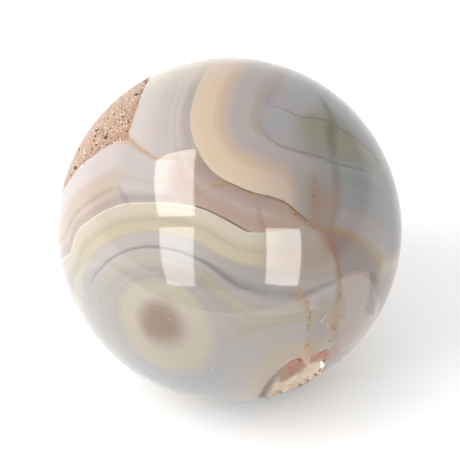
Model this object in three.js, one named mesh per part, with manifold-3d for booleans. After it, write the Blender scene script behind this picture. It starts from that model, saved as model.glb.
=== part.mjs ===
// Agate geode sphere: a polished ball of banded agate. A patch of pitted brown matrix lies flush in its
// surface at the upper left, and a shallow open pocket at the lower right is lined with small crystals.
// Millimetres, +Z up. The origin is the middle of the small flat that the ball rests on.
import * as THREE from 'three';
import { mergeVertices } from 'three/addons/utils/BufferGeometryUtils.js';
import Module from 'manifold-3d';

const wasm = await Module();
wasm.setup();

// Driving dimensions of the ball
const BALL_DIAMETER = 60;
const BALL_RADIUS = BALL_DIAMETER / 2;
const BALL_FACETS = 13; // cuts along each edge of the starting icosahedron
const REST_FLAT_DIAMETER = 10;
const FACE_TILT = 40; // degrees that the middle of the patterned face looks up
const CENTRE_HEIGHT = Math.sqrt(BALL_RADIUS ** 2 - (REST_FLAT_DIAMETER / 2) ** 2);

// Driving dimensions of the pocket and its crystals
const POCKET_LOBES = [
  // right and up are arcs over the ball from the middle of the face, turn is in degrees
  { right: 14.8, up: -37.2, long: 10.6, wide: 7.2, deep: 4.2, turn: 92 },
  { right: 20.2, up: -29.8, long: 4.7, wide: 3.2, deep: 3.6, turn: 105 },
  { right: 9.4, up: -38.6, long: 4.2, wide: 2.8, deep: 3.0, turn: 70 },
  { right: 20.8, up: -38.0, long: 6.2, wide: 4.2, deep: 3.6, turn: 110 },
];
const POCKET_MIDDLE = [15.5, -36.0]; // arcs right and up
const CRUST_GAP = 0.3; // clear space between the crust and the wall of the pocket
const BED_DEPTH = 1.7; // depth of the crust's smooth bed under the ball's surface
const ROOT_DEPTH = 2.3; // depth at which the crystals start
const FLUSH_DEPTH = 0.3; // crystals that would reach the ball's surface are ground off this far under it
const GROWTH_TURN = -50; // degrees, the way over the face in which the crystals get longer
const GROWTH_START = -0.8; // no crystal starts before this distance from the middle, that way
const CRYSTAL_REACH = 12;
const CRYSTAL_SPACING = 1.8;
const CRYSTAL_WIDTH = [1.3, 2.3];
const SHAFT_AT_START = [0.3, 0.9];
const SHAFT_GROWTH = 0.13; // more shaft for each millimetre past the start
const POINT_SHARE = 0.6; // length of a crystal's pointed end, for each millimetre of its width
const CRYSTAL_LEAN = 25; // degrees, most that a crystal leans from straight out

// The matrix patch: its outline, and the pits in it
const PATCH_OUTLINE = [
  [-20.6, 40.0], [-20.0, 34.0], [-19.4, 27.0], [-19.9, 20.5], [-19.6, 17.4], [-24.0, 17.0], [-30.0, 15.0],
  [-36.0, 12.3], [-44.0, 9.3], [-54.0, 9.0], [-62.0, 14.0], [-66.0, 25.0], [-62.0, 38.0], [-52.0, 50.0],
  [-38.0, 56.0], [-26.0, 50.0],
];
const SEEN_PITS = [
  // right, up, long half, wide half, turn in degrees
  [-21.4, 38.4, 1.5, 0.5, 100], [-21.2, 30.7, 0.85, 0.5, 10], [-20.6, 28.6, 0.4, 0.35, 0],
  [-24.6, 25.4, 0.7, 0.4, 130], [-31.6, 26.0, 0.5, 0.4, 0], [-30.6, 23.1, 1.2, 0.45, 165],
  [-30.3, 20.8, 0.8, 0.5, 80], [-26.6, 19.7, 1.0, 0.55, 140], [-24.4, 20.6, 0.4, 0.35, 0],
  [-25.0, 17.9, 0.7, 0.4, 30], [-21.0, 19.6, 0.4, 0.35, 0], [-37.4, 20.0, 0.9, 0.45, 150],
  [-35.6, 14.4, 1.2, 0.55, 165], [-38.6, 12.6, 0.6, 0.4, 0], [-28.6, 17.6, 0.4, 0.3, 0],
];
const HIDDEN_PIT_COUNT = 24;
const HIDDEN_PIT_ARC = 44; // hidden pits lie further than this from the middle of the face
const PIT_HALF_WIDTH = [0.4, 1.1];
const PIT_DEPTH_SHARE = 0.8;

// A repeatable stream of numbers from 0 to 1
function seededRandom(seed) {
  let state = seed;
  return () => {
    state = (state * 1664525 + 1013904223) % 4294967296;
    return state / 4294967296;
  };
}

function between([low, high], share) {
  return low + (high - low) * share;
}

// Turns face directions (right, up, out of the face) into the ball's own frame
function faceFrame() {
  const tilt = THREE.MathUtils.degToRad(FACE_TILT);
  const right = new THREE.Vector3(1, 0, 0);
  const up = new THREE.Vector3(0, Math.sin(tilt), Math.cos(tilt));
  const out = new THREE.Vector3(0, -Math.cos(tilt), Math.sin(tilt));
  return new THREE.Matrix4().makeBasis(right, up, out);
}

// The outward direction at a place given by its arcs right and up from the middle of the face
function outwardAt(right, up) {
  const angle = Math.hypot(right, up) / BALL_RADIUS;
  const heading = Math.atan2(up, right);
  return new THREE.Vector3(
    Math.cos(heading) * Math.sin(angle),
    Math.sin(heading) * Math.sin(angle),
    Math.cos(angle),
  ).applyMatrix4(faceFrame());
}

// A placement on the ball: z points out of the surface, x lies along the surface at the given turn
function placeAt(right, up, turnDegrees, depth) {
  const out = outwardAt(right, up);
  const ahead = outwardAt(right + 0.5, up).sub(out);
  const along = ahead.addScaledVector(out, -ahead.dot(out)).normalize();
  along.applyAxisAngle(out, THREE.MathUtils.degToRad(turnDegrees));
  const across = new THREE.Vector3().crossVectors(out, along);
  const origin = out.clone().multiplyScalar(BALL_RADIUS - depth);
  origin.z += CENTRE_HEIGHT;
  return new THREE.Matrix4().makeBasis(along, across, out).setPosition(origin);
}

function solidFrom(geometry) {
  const bare = geometry.index ? geometry.toNonIndexed() : geometry.clone();
  bare.deleteAttribute('normal');
  bare.deleteAttribute('uv');
  const merged = mergeVertices(bare, 1e-4);
  const corners = merged.index.array;
  const triangles = [];
  for (let i = 0; i < corners.length; i += 3) {
    const [a, b, c] = [corners[i], corners[i + 1], corners[i + 2]];
    if (a !== b && b !== c && c !== a) triangles.push(a, b, c);
  }
  return new wasm.Manifold(new wasm.Mesh({
    numProp: 3,
    vertProperties: new Float32Array(merged.attributes.position.array),
    triVerts: new Uint32Array(triangles),
  }));
}

function joinAll(solids) {
  return solids.reduce((whole, next) => whole.add(next));
}

function meshFrom(solid, name, material) {
  const result = solid.getMesh();
  const geometry = new THREE.BufferGeometry();
  geometry.setAttribute('position', new THREE.BufferAttribute(result.vertProperties, 3));
  geometry.setIndex(new THREE.BufferAttribute(result.triVerts, 1));
  geometry.computeVertexNormals();
  const mesh = new THREE.Mesh(geometry, material);
  mesh.name = name;
  return mesh;
}

function plainBall(radius) {
  const ball = new THREE.IcosahedronGeometry(radius, BALL_FACETS);
  ball.translate(0, 0, CENTRE_HEIGHT);
  return solidFrom(ball);
}

// Everything below the level that the ball rests on
function groundBlock() {
  const height = 10;
  const block = new THREE.BoxGeometry(2 * BALL_DIAMETER, 2 * BALL_DIAMETER, height);
  block.translate(0, 0, -height / 2);
  return solidFrom(block);
}

// The space of the pocket. Its walls move in by the given inset.
function pocketSpace(inset) {
  return joinAll(POCKET_LOBES.map((lobe) => {
    const bowl = new THREE.IcosahedronGeometry(1, 3);
    bowl.scale(lobe.long - inset, lobe.wide - inset, lobe.deep - inset);
    bowl.applyMatrix4(placeAt(lobe.right, lobe.up, lobe.turn, 0));
    return solidFrom(bowl);
  }));
}

function isInPocket(point, inset) {
  return POCKET_LOBES.some((lobe) => {
    const local = point.clone().applyMatrix4(placeAt(lobe.right, lobe.up, lobe.turn, 0).invert());
    local.divide(new THREE.Vector3(lobe.long - inset, lobe.wide - inset, lobe.deep - inset));
    return local.length() < 1;
  });
}

// A pit in the matrix: a small angular hole
function pit([right, up, long, wide, turn]) {
  const hole = new THREE.IcosahedronGeometry(1, 0);
  hole.rotateX(right + up);
  hole.scale(long, wide, wide * PIT_DEPTH_SHARE);
  hole.applyMatrix4(placeAt(right, up, turn, 0));
  return solidFrom(hole);
}

function isInside([x, y], outline) {
  let inside = false;
  outline.forEach(([x1, y1], i) => {
    const [x0, y0] = outline[(i + outline.length - 1) % outline.length];
    if ((y1 > y) !== (y0 > y) && x < ((x0 - x1) * (y - y1)) / (y0 - y1) + x1) inside = !inside;
  });
  return inside;
}

function hiddenPits() {
  const random = seededRandom(11);
  const pits = [];
  while (pits.length < HIDDEN_PIT_COUNT) {
    const place = [-66 + 50 * random(), 8 + 48 * random()];
    const long = between(PIT_HALF_WIDTH, random());
    const wide = long * (0.5 + 0.4 * random());
    const turn = 180 * random();
    if (Math.hypot(...place) > HIDDEN_PIT_ARC && isInside(place, PATCH_OUTLINE)) {
      pits.push([...place, long, wide, turn]);
    }
  }
  return pits;
}

function agateSphere() {
  const pits = [...SEEN_PITS, ...hiddenPits()].map(pit);
  const ball = plainBall(BALL_RADIUS).subtract(groundBlock());
  return ball.subtract(pocketSpace(0)).subtract(joinAll(pits));
}

// One six-sided crystal, standing on the origin along +Z, with a pointed end
function crystal(width, length) {
  const outline = [[0, 0], [width / 2, 0], [width / 2, length], [0, length + POINT_SHARE * width]];
  const shape = new THREE.LatheGeometry(outline.map(([x, y]) => new THREE.Vector2(x, y)), 6);
  return shape.rotateX(Math.PI / 2);
}

// Crystals stand in rows over the far part of the bed, each one leaning its own way
function crystals() {
  const random = seededRandom(3);
  const growthTurn = THREE.MathUtils.degToRad(GROWTH_TURN);
  const solids = [];
  for (let across = -CRYSTAL_REACH; across <= CRYSTAL_REACH; across += CRYSTAL_SPACING) {
    for (let along = -CRYSTAL_REACH; along <= CRYSTAL_REACH; along += CRYSTAL_SPACING) {
      const right = across + 0.7 * random();
      const up = along + 0.7 * random();
      const width = between(CRYSTAL_WIDTH, random());
      const grown = right * Math.cos(growthTurn) + up * Math.sin(growthTurn) - GROWTH_START;
      const shaft = between(SHAFT_AT_START, random()) + SHAFT_GROWTH * grown;
      const leanTurn = 2 * Math.PI * random();
      const lean = THREE.MathUtils.degToRad(CRYSTAL_LEAN * random());
      const place = placeAt(POCKET_MIDDLE[0] + right, POCKET_MIDDLE[1] + up, 60 * random(), ROOT_DEPTH);
      const root = new THREE.Vector3().setFromMatrixPosition(place);
      if (grown < 0 || !isInPocket(root, CRUST_GAP)) continue;
      const leanAxis = new THREE.Vector3(Math.cos(leanTurn), Math.sin(leanTurn), 0);
      place.multiply(new THREE.Matrix4().makeRotationAxis(leanAxis, lean));
      solids.push(solidFrom(crystal(width, shaft).applyMatrix4(place)));
    }
  }
  return joinAll(solids);
}

function pocketCrystals() {
  const space = pocketSpace(CRUST_GAP).intersect(plainBall(BALL_RADIUS - FLUSH_DEPTH));
  return plainBall(BALL_RADIUS - BED_DEPTH).add(crystals()).intersect(space);
}

const agate = new THREE.MeshStandardMaterial({ color: 0xc9bfb4, roughness: 0.12, metalness: 0 });
const quartz = new THREE.MeshStandardMaterial({ color: 0xdccbb2, roughness: 0.3, metalness: 0 });

const group = new THREE.Group();
group.add(meshFrom(agateSphere(), 'agate_sphere', agate));
group.add(meshFrom(pocketCrystals(), 'pocket_crystals', quartz));

export default group;
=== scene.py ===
# Agate geode sphere: a polished 60 mm ball of banded agate. A pitted brown patch of the rock that the
# agate grew in shows at the upper left, and an open pocket lined with small crystals at the lower right.
# The bands follow curves that are drawn on the ball. Such a curve is a list of points, and each point is
# two arcs in millimetres, to the right and up over the ball from the middle of the patterned face.
import math

import bpy
import numpy as np
from mathutils import Matrix, Vector
from mathutils.bvhtree import BVHTree
from mathutils.kdtree import KDTree


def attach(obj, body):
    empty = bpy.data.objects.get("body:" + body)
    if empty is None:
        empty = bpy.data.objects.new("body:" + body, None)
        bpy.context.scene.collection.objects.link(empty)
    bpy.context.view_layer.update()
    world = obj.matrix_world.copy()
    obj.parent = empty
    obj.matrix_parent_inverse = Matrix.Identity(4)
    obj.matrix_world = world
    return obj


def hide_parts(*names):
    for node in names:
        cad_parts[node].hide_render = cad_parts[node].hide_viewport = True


MM = 0.001

# Size and stand of the ball, in millimetres
BALL_RADIUS = 30.0
REST_FLAT_DIAMETER = 10.0
CENTRE_HEIGHT = math.sqrt(BALL_RADIUS**2 - (REST_FLAT_DIAMETER / 2) ** 2)
BALL_CUTS = 84  # cuts along each edge of the starting icosahedron

# The patterned face looks up at this angle, and the camera looks straight at it
FACE_TILT = math.radians(40)
RIGHT = Vector((1, 0, 0))
UP = Vector((0, math.sin(FACE_TILT), math.cos(FACE_TILT)))
OUT = Vector((0, -math.cos(FACE_TILT), math.sin(FACE_TILT)))
CENTRE = Vector((0, 0, CENTRE_HEIGHT))
FACE_AXES = np.array([RIGHT, UP, OUT])
BACK_AXES = np.array([-RIGHT, UP, -OUT])  # the same, seen from the opposite side

# The open pocket: its rim, and the crust on its wall
POCKET_RIM = [
    (6.9, -38.5), (8, -33.6), (9.9, -29.7), (12.2, -26.9), (13.7, -26.5), (14.9, -26.7), (15.6, -27.7),
    (16.4, -29.3), (17.1, -29.5), (17.3, -28.2), (17.3, -26.6), (19.1, -25.8), (21, -25.6), (22, -27),
    (22.6, -30), (22.9, -33.5), (22, -37.5), (20, -41.5), (16.5, -44.8), (12.5, -46), (8.8, -44.5),
    (7, -42),
]
POCKET_DEPTH = 4.2
POCKET_WALL_RUN = 6.5  # from the rim to the deepest part
CRUST_THICKNESS = 0.5
CRYSTAL_COUNT = 1800
CRYSTAL_RADII = (0.25, 0.6)
RED_WALL_CRYSTAL_RADII = (0.12, 0.25)

# Arcs that the grid under the pocket's wall spans, and its spacing for the wall and for the crust
POCKET_GRID_RIGHT = (5, 25)
POCKET_GRID_UP = (-48.5, -23.5)
CUTTER_SPACING = 0.3
CRUST_SPACING = 0.3

# Inside the pocket, as it is seen from the front: the lower edge of the red wall, the right edge of the
# grey tip, which is painted shade, and two spots of painted shade, a small hole's dark inside and the
# shadow beside the glint crystal, with their half length, half width and turn in degrees
RED_WALL_END = [
    (10, -30.6), (10.4, -32.2), (11, -34.4), (12.4, -34.2), (14, -32.8), (15.5, -31.3), (16.7, -30.1),
    (18, -29.3), (20.1, -29.1), (23, -30),
]
SHADED_TIP_END = [(11.3, -28.6), (10.9, -30.6), (10.2, -33.1), (9.6, -36.2), (9.4, -40)]
POCKET_SHADE_SPOTS = [(12.4, -36.4, 0.9, 0.5, 40), (22.4, -31.8, 1.2, 0.4, 100)]

# The one crystal with a bright flat face
GLINT_PLACE = (15.8, -23.25)  # millimetres right and up, seen straight from the front
GLINT_FACES = (9.2, -4.7)  # the place on the ball whose outward direction the flat face has
GLINT_OUTLINE = [(0.75, -0.4), (0.7, 0.35), (-0.1, 0.3), (-0.75, 0.15), (-0.5, -0.35)]
GLINT_HEIGHTS = (-0.8, 0.55)  # its foot and its flat face, from the crust's surface

# The rock patch and the pits in it
PATCH_EDGE = [
    (-20.9, 40.2), (-19.6, 34.9), (-19.5, 30.5), (-19.4, 27.5), (-19.6, 25), (-19.9, 21.5), (-20.2, 19.2),
    (-20, 17.8), (-22, 17.6), (-24, 17.4), (-26.6, 16.7), (-29, 15.7), (-31.5, 14.9), (-34.4, 13.5),
    (-37.2, 11.8), (-40, 10.4), (-44, 9.2), (-54, 9), (-62, 14), (-66, 25), (-62, 38), (-52, 50),
    (-38, 56), (-26, 50),
]
SEEN_PITS = [
    # right, up, half length, half width, turn in degrees
    (-21.4, 38.4, 1.5, 0.5, 100), (-20.3, 36, 0.9, 0.4, 105), (-21.4, 30.8, 0.8, 0.35, 140),
    (-20.3, 30.6, 0.5, 0.35, 60), (-19.9, 28.1, 0.3, 0.25, 0), (-23.2, 30.2, 0.35, 0.2, 120),
    (-24.2, 26.9, 0.3, 0.2, 150), (-23, 26.1, 0.4, 0.25, 120), (-22.2, 25.3, 0.35, 0.2, 120),
    (-23, 24.2, 0.5, 0.25, 150), (-23.6, 23.3, 0.3, 0.2, 150), (-21, 22.3, 0.5, 0.25, 150),
    (-20.8, 19.9, 0.4, 0.25, 60), (-26.3, 26.1, 0.5, 0.25, 130), (-27.8, 25.2, 0.5, 0.2, 150),
    (-30.9, 23.1, 1.1, 0.35, 170), (-29, 22.5, 0.45, 0.25, 150), (-30.5, 21.2, 0.6, 0.3, 140),
    (-30.6, 20, 0.5, 0.3, 140), (-27.6, 20.4, 0.4, 0.2, 140), (-26.5, 19.6, 0.8, 0.3, 145),
    (-25.7, 21.5, 0.3, 0.2, 140), (-24.6, 20.4, 0.3, 0.2, 140), (-29.1, 18.4, 0.45, 0.25, 170),
    (-27.6, 17.3, 0.35, 0.2, 30), (-25.2, 17.8, 0.5, 0.25, 20), (-23.4, 18.2, 0.3, 0.2, 150),
    (-30.4, 17.7, 0.4, 0.2, 150), (-32, 16.5, 0.4, 0.2, 150), (-37.5, 19.9, 1.1, 0.35, 150),
    (-36, 14.4, 1.3, 0.4, 160), (-38, 13, 0.6, 0.3, 160),
]
HIDDEN_PIT_COUNT = 40
PIT_DEPTH_SHARE = 0.8

# Outlines inside the big lower nodule, from its rim inward. They close on the hidden side of the ball.
LOWER_RIM = [
    (-45, -8.7), (-41.7, -7.7), (-38.3, -6.3), (-36, -5.6), (-35, -4.8), (-34, -3), (-32.7, -1),
    (-31.3, 0.3), (-28.3, 1.8), (-25, 3.3), (-22, 4.3), (-19.7, 4.8), (-16.7, 4.9), (-13, 4.8),
    (-9.7, 4.6), (-6, 3.9), (-2, 2.5), (3, -0.3), (6, -0.5), (9.5, -0.2), (13, 0.6), (15.5, 0.3),
    (17.5, -0.8), (18.3, -2.4), (19.8, -5), (20.5, -8.5), (20.9, -12), (20.8, -15.5), (20.8, -18),
    (21.5, -20.5), (22.5, -23), (24, -27), (27, -33), (31, -40), (36, -50), (34, -62), (16, -70),
    (-8, -72), (-34, -64), (-54, -46), (-62, -28), (-58, -16), (-51, -11),
]
LOWER_CREAM_END = [
    (-36, -29), (-34.3, -22), (-33, -16), (-31.5, -11), (-29, -7), (-25.5, -4), (-21, -1.8), (-16, -0.6),
    (-11, -0.8), (-6, -2.2), (-2, -4.4), (1.5, -5.8), (5.5, -6.6), (10, -7.4), (14, -8), (17, -8),
    (21, -7.6), (26, -9), (30, -14), (31, -24), (33, -36), (34, -50), (28, -60), (12, -66), (-8, -68),
    (-30, -60), (-46, -46), (-47, -38), (-41, -33),
]
LOWER_DARK_ARC = [
    (-30.5, -16), (-29.3, -12), (-28.5, -10.5), (-27, -9), (-25.3, -7.6), (-23, -5.8), (-20, -4.3),
    (-17, -3.4), (-14.5, -3.1), (-12.5, -3.2), (-9, -3.8), (-5.8, -5), (-3.5, -6.2), (-1.5, -7.8),
    (0, -8.8), (1.5, -9.9), (3, -10.5), (6, -11.3), (10, -11.8), (13.5, -12.3), (15, -12), (17, -11.3),
    (20, -10.6), (25, -11), (28.5, -15), (29.5, -24), (31.5, -36), (31.5, -49), (25, -57), (10, -62),
    (-8, -63), (-26, -56), (-38, -44), (-37, -36), (-32.5, -28), (-31, -21),
]
LOWER_YELLOW_RING = [
    (-28, -17), (-27.6, -14), (-26, -11), (-22.5, -8), (-19, -6.3), (-15, -5.5), (-11, -5.9),
    (-7.5, -7.1), (-5, -8.3), (-3, -9.8), (-1.2, -11.6), (0.6, -13.4), (2.6, -14.8), (5.5, -15.6),
    (9, -15.8), (12.5, -15.4), (14.8, -14.8), (17.5, -15.8), (20.5, -17), (25, -17), (27, -22), (28, -30),
    (29, -40), (27, -50), (20, -55), (8, -58), (-8, -58), (-22, -50), (-29, -40), (-28.5, -31),
    (-28.3, -24),
]
DISC = [
    (-21.5, -18), (-20.6, -14), (-18.3, -11), (-14.5, -9.6), (-10.5, -9.8), (-7.6, -11.2), (-5.4, -14),
    (-3.9, -18), (-3.9, -22), (-5, -25), (-8, -28), (-12.5, -29), (-17, -27.8), (-20.3, -24),
]
EYE = [
    (-16.9, -18), (-16.5, -15.8), (-15, -14), (-13, -13.4), (-11, -14.2), (-9.6, -16.2), (-9.3, -18.4),
    (-10, -20.4), (-12, -21.4), (-14.6, -21.4), (-16.4, -20.2),
]
POCKET_HALO = [
    (15, -18.8), (11, -19), (7, -20.2), (4.4, -22.8), (2.8, -27), (2, -32), (2.2, -38), (3, -46),
    (8, -52), (16, -53), (24, -50), (28, -42), (27.5, -33), (26, -26), (22, -20.5), (18, -18.6),
]

# The big upper nodule: its rim, the part of the rim that its bands follow, and two layers across it
UPPER_RIM = [
    (-2.5, 45), (-3, 43), (-3.9, 40), (-5, 35.5), (-6.2, 31), (-7, 27), (-7.5, 22), (-7.3, 19),
    (-6.5, 16), (-5.7, 14.3), (-4.7, 12.3), (-3, 10.2), (-1, 8.7), (1, 7.7), (3, 6.8), (5, 6.1),
    (7.5, 5.5), (9.5, 4.8), (11, 3.8), (13, 2.3), (14.5, 1.2), (17, 0.4), (20, 0.2), (23, -0.8),
    (26, -1.8), (28.5, -3.5), (31, -5), (34, -6), (40, -6), (50, -5), (60, -1), (66, 10), (66, 26),
    (58, 42), (46, 54), (30, 64), (12, 66), (2, 56),
]
UPPER_BANDS_FOLLOW = [
    (6, 66), (-1, 55), (-2.5, 45), (-3.9, 40), (-5, 35.5), (-6.2, 31), (-7, 27), (-7.5, 22), (-7.3, 19),
    (-6.5, 16), (-4.7, 12.3), (-3, 10.2), (-1, 8.7), (1, 7.7), (3, 6.8), (5, 6.1), (7, 5.7),
]
UPPER_OLIVE_TOP = [
    (-2, 25), (8, 24.1), (11, 23.3), (14, 22.1), (17, 22.4), (20.5, 22.1), (22, 21.6), (24, 20.5),
    (27, 19.7), (30, 18.2), (32, 17.2), (33.2, 16), (34, 14), (34.8, 12), (36, 10), (37, 8), (37.5, 5),
    (38.5, 0),
]
UPPER_OLIVE_END = [(-2, 13.5), (10, 14.8), (15, 14), (20, 13.6), (26, 13.4), (33, 12.6), (38, 11)]

# The other parts of the pattern
TOP_NODULE = [
    (-20, 17.9), (-17.9, 16.1), (-15.3, 14.2), (-13.7, 13), (-10, 13.2), (-6, 15), (0, 25), (2, 45),
    (-2, 60), (-14, 68), (-28, 62), (-32, 50), (-28, 36), (-24, 24),
]
WEST_NODULE = [
    (-20, 17.9), (-17.9, 16.1), (-15.3, 14.2), (-13.7, 13), (-9, 12), (-7.5, 8), (-7.5, 2), (-20, 0),
    (-32, -5), (-42, -12), (-56, -16), (-66, -8), (-68, 8), (-58, 18), (-40, 18), (-28, 20),
]
MIDDLE_FILL = [
    (-9.5, 13.6), (-7.5, 13.4), (-5, 13.5), (0, 12), (6, 8), (14, 4), (18.5, 0), (17, -3), (6, -3),
    (-10, 2),
]
EAST_FILL = [
    (17.5, 0.8), (20, 0.2), (23, -0.8), (26, -1.8), (28.5, -3.5), (30.5, -5.3), (32, -7), (32.2, -9.5),
    (31.3, -12), (31.5, -15), (34, -19), (37, -24), (37, -31), (33, -38), (27, -42), (22, -38), (21, -30),
    (21.5, -23), (20, -18), (20.4, -12), (19.5, -6), (17.8, -2),
]
PALE_INCLUSION = [
    (21.8, -8.7), (25, -8.3), (28.7, -9), (29.3, -12.5), (30.1, -15.5), (30.4, -18.2), (33, -18.6),
    (35, -21), (34, -27), (28, -29), (24, -26.5), (22.8, -22), (21.6, -17), (21.4, -12),
]
BACK_NODULES = [
    # outlines seen from the opposite side of the ball
    [(-9, 10), (-4, 19), (6, 22), (15, 17), (17, 8), (11, -1), (1, -4), (-7, 1)],
    [(-26, -6), (-24, 3), (-15, 6), (-6, -1), (-3, -11), (-9, -19), (-19, -20), (-26, -14)],
    [(6, -8), (13, -5), (20, -9), (22, -17), (15, -23), (6, -20), (3, -13)],
]
BACK_EYES = [
    [(0, 10), (2, 14), (7, 14), (9, 9), (6, 5), (2, 5)],
    [(-17, -8), (-16, -4), (-12, -5), (-11, -10), (-14, -13)],
    [(11, -12), (14, -10), (17, -13), (14, -17), (11, -16)],
]

# Cracks, thin lines and hazes: arcs right and up, and the line's half width there
RIM_CRACK = [
    (-6.2, 4, 0), (-5.5, 3.85, 0.1), (-4, 3.35, 0.1), (-2, 2.4, 0.12), (0, 1.35, 0.14), (2, 0.2, 0.14),
    (3, -0.35, 0.08), (4, -0.5, 0),
]
UPPER_SEAM = [
    (-2, 8.6, 0), (0, 8, 0.06), (2, 7.1, 0.08), (3.5, 6.5, 0.08), (5, 6.1, 0.06), (8.5, 5.2, 0.12),
    (10.3, 4.3, 0.14), (11.5, 3.3, 0.12), (13, 2.1, 0.08), (14.5, 1, 0),
]
SEAM_CRUMBS = [
    (-4, 7.2, 0), (-3, 7.6, 0.6), (-1.5, 8, 0.8), (0, 7.5, 0.35), (2, 6.7, 0.3), (3.5, 6.1, 0.5),
    (5, 5.9, 0.3), (8.5, 5, 0.2), (10.3, 4.1, 0.25), (11.5, 3, 0.6), (13, 1.8, 0.4), (14.5, 0.6, 0.3),
    (16, 0.1, 0.5), (17.4, -0.4, 0.2), (18, -1, 0),
]
SEAM_HAZE = [
    (9, 4.2, 0), (12, 2.4, 0.7), (15, 0.6, 1.2), (17.2, -0.4, 1.8), (18.6, -2.6, 1.4), (19.8, -5, 1.1),
    (20.5, -8, 0.9), (21, -12, 1.2), (20.9, -16, 1.1), (21, -20, 0.8), (21.8, -24, 0.3),
]
LOWER_CRUMBS = [
    (20.4, -8.6, 0), (20.8, -10.5, 0.7), (21.4, -12.5, 1), (21.4, -14.5, 1.4), (21.2, -16.5, 1.6),
    (21, -18.5, 1.2), (21.3, -21, 1.1), (21.6, -23.5, 0.9), (22, -25, 0.3), (22.1, -25.4, 0),
]
CORNER_CRACK = [
    (-20.6, 18.6, 0), (-20, 17.9, 0.12), (-19, 17.2, 0.1), (-17.9, 16.1, 0.1), (-16.5, 14.9, 0.14),
    (-15.3, 14.2, 0.1), (-13.7, 13, 0.08), (-10, 13.4, 0.05), (-7, 14.6, 0),
]
CORNER_HAZE = [
    (-23, 17.4, 0.2), (-20.5, 17.6, 1.4), (-18.5, 16.5, 1.2), (-16, 14.6, 0.7), (-13, 12.8, 0.2),
]
FILL_EDGE = [(-6.4, 5.5, 0), (-5.6, 6, 0.3), (-4, 6.5, 0.4), (-2.5, 7.2, 0.5), (-0.8, 8, 0.2)]
BRANCH = [(4.4, 6, 0.1), (4.9, 4.4, 0.5), (5.1, 3, 0.5), (5.5, 1, 0.7), (6, 0, 0.6), (6.2, -1.5, 0.1)]
LEFT_CRACK = [
    (12.2, -11, 0), (13.3, -12.2, 0.08), (14.2, -13.6, 0.14), (14.8, -14.8, 0.12), (15.2, -16.5, 0.08),
    (15.3, -18, 0),
]
LEFT_CRUMBS = [
    (11.4, -10.2, 0), (12.2, -11, 0.9), (13.2, -12.2, 1.1), (14.1, -13.6, 0.6), (14.8, -15.2, 0.6),
    (15.2, -17, 0.7), (15.4, -19, 0.8), (15.7, -21.5, 1.2), (16.2, -24, 1.3), (16.7, -26, 1.2),
    (16.9, -27.5, 0.7), (16.9, -28, 0),
]
TONGUE_HAZE = [(14.2, -23.8, 0.3), (15.2, -26, 1.9), (16.6, -28.2, 1.7), (17.1, -29.8, 1.2)]
EAST_ARCH = [
    (17.4, -0.2, 0.8), (20, 0, 1.3), (23, -1, 1.3), (26, -2, 1.2), (28.5, -3.7, 1.2), (30.5, -5.5, 1.3),
    (32, -7.2, 1.4), (32.2, -9.5, 1), (31.5, -12, 0.3),
]
OLIVE_LINE = [
    (6, 24.3, 0), (8, 24.1, 0.03), (11, 23.3, 0.05), (14, 22.1, 0.1), (17, 22.4, 0.16),
    (20.5, 22.1, 0.22), (22, 21.6, 0.2), (24, 20.5, 0.2), (27, 19.7, 0.2), (30, 18.2, 0.2),
    (32, 17.2, 0.22), (33.2, 16, 0.2), (34, 14, 0.15), (34.8, 12, 0.15), (36, 10, 0.12), (37, 8, 0.1),
    (37, 5, 0),
]
VIOLET_LINE = [
    (6.2, 25.5, 0), (5.3, 22.5, 0.02), (5.3, 20, 0.02), (6.5, 17.5, 0.04), (8, 16, 0.08), (10, 15, 0.15),
    (13, 14.3, 0.18), (15, 14, 0.12), (18, 13.4, 0.14), (20, 12.8, 0.12), (25, 12.2, 0.08), (32, 11.8, 0),
]
BROWN_VEIL = [
    (19.6, 31.5, 0), (20.4, 28, 1), (21, 25, 1.6), (21, 22, 1.9), (20.4, 19, 1.8), (20.1, 16, 1.5),
    (20.2, 13, 1.4), (20.2, 10, 1.4), (20.1, 7, 1.5), (19.7, 4, 1.5), (19, 1.5, 1.2), (18.2, -0.6, 0.8),
]
INCLUSION_SHADE = [
    (28.5, -8.4, 0), (30.4, -10.8, 1.6), (31.4, -14, 2.5), (31.8, -17.5, 2.2), (33.8, -19.6, 0.7),
]
BETWEEN_SEAMS = [(17.9, -13.4, 3), (18.1, -16, 3.2), (18.2, -19, 3.2), (18.4, -22.5, 3)]
WEST_VEIL = [(-22, 10.5, 0), (-21.2, 8.5, 0.45), (-20.3, 6.8, 0.7), (-19.2, 5.4, 0.8), (-18.5, 4.6, 0.4)]
SHORT_VEIL = [(15.2, 11.6, 0), (15.4, 9.4, 1.2), (15.4, 6, 1.5), (15.4, 3, 1.5), (15.8, 0.8, 1.2)]
DARK_ARC = [
    (-29.5, -12, 0), (-27, -9, 0.14), (-25.3, -7.6, 0.18), (-23, -5.8, 0.16), (-20, -4.3, 0.12),
    (-17, -3.4, 0.14), (-14.5, -3.1, 0.16), (-12.5, -3.2, 0.14), (-9, -3.8, 0.12), (-5.8, -5, 0.14),
    (-3.5, -6.2, 0.18), (-1.5, -7.8, 0.22), (0, -8.8, 0.22), (1.5, -9.9, 0.2), (3.5, -10.6, 0.1),
    (5, -11, 0),
]
ARC_HAZE = [
    (-6, -5, 0.3), (-3, -6.6, 0.7), (0, -8.8, 1), (3, -10.4, 1.4), (6, -11.3, 1.5), (10, -11.8, 1.4),
    (13.5, -11.9, 1.2), (17, -10.9, 1), (20.6, -10, 0.6),
]

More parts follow.
